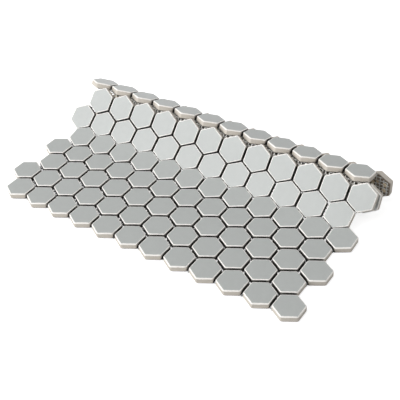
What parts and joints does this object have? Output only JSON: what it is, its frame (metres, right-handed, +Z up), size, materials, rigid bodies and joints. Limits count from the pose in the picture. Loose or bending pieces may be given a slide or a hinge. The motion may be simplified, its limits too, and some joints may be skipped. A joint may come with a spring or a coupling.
{
  "type": "mosaic tile sheet",
  "caption": "Mesh-backed sheet of glazed hexagonal mosaic tiles, lying flat with its back rows turned over into a loose roll.",
  "frame": {"origin": "on the floor under the middle of the part's bounding box", "axes": "+X along the rows of tiles, +Y from the flat front rows to the rolled back rows, +Z up out of the tile faces"},
  "size_m": [0.3008, 0.1643, 0.0402],
  "materials": {
    "glazed_porcelain": "satin grey glaze on a cream body",
    "glass_fibre_mesh": "woven glass fibre scrim, dull white, with glue"
  },
  "bodies": {
    "root": {"tile_row_01": "glazed_porcelain", "tile_row_02": "glazed_porcelain", "tile_row_03": "glazed_porcelain", "tile_row_04": "glazed_porcelain", "tile_row_05": "glazed_porcelain", "tile_row_06": "glazed_porcelain", "tile_row_07": "glazed_porcelain", "tile_row_08": "glazed_porcelain", "tile_row_09": "glazed_porcelain", "tile_row_10": "glazed_porcelain", "tile_row_11": "glazed_porcelain", "mesh_flat_span": "glass_fibre_mesh", "mesh_rising_span": "glass_fibre_mesh", "mesh_top_span": "glass_fibre_mesh", "mesh_back_span": "glass_fibre_mesh", "mesh_bottom_span": "glass_fibre_mesh", "mesh_inner_span": "glass_fibre_mesh"}
  },
  "joints": []
}
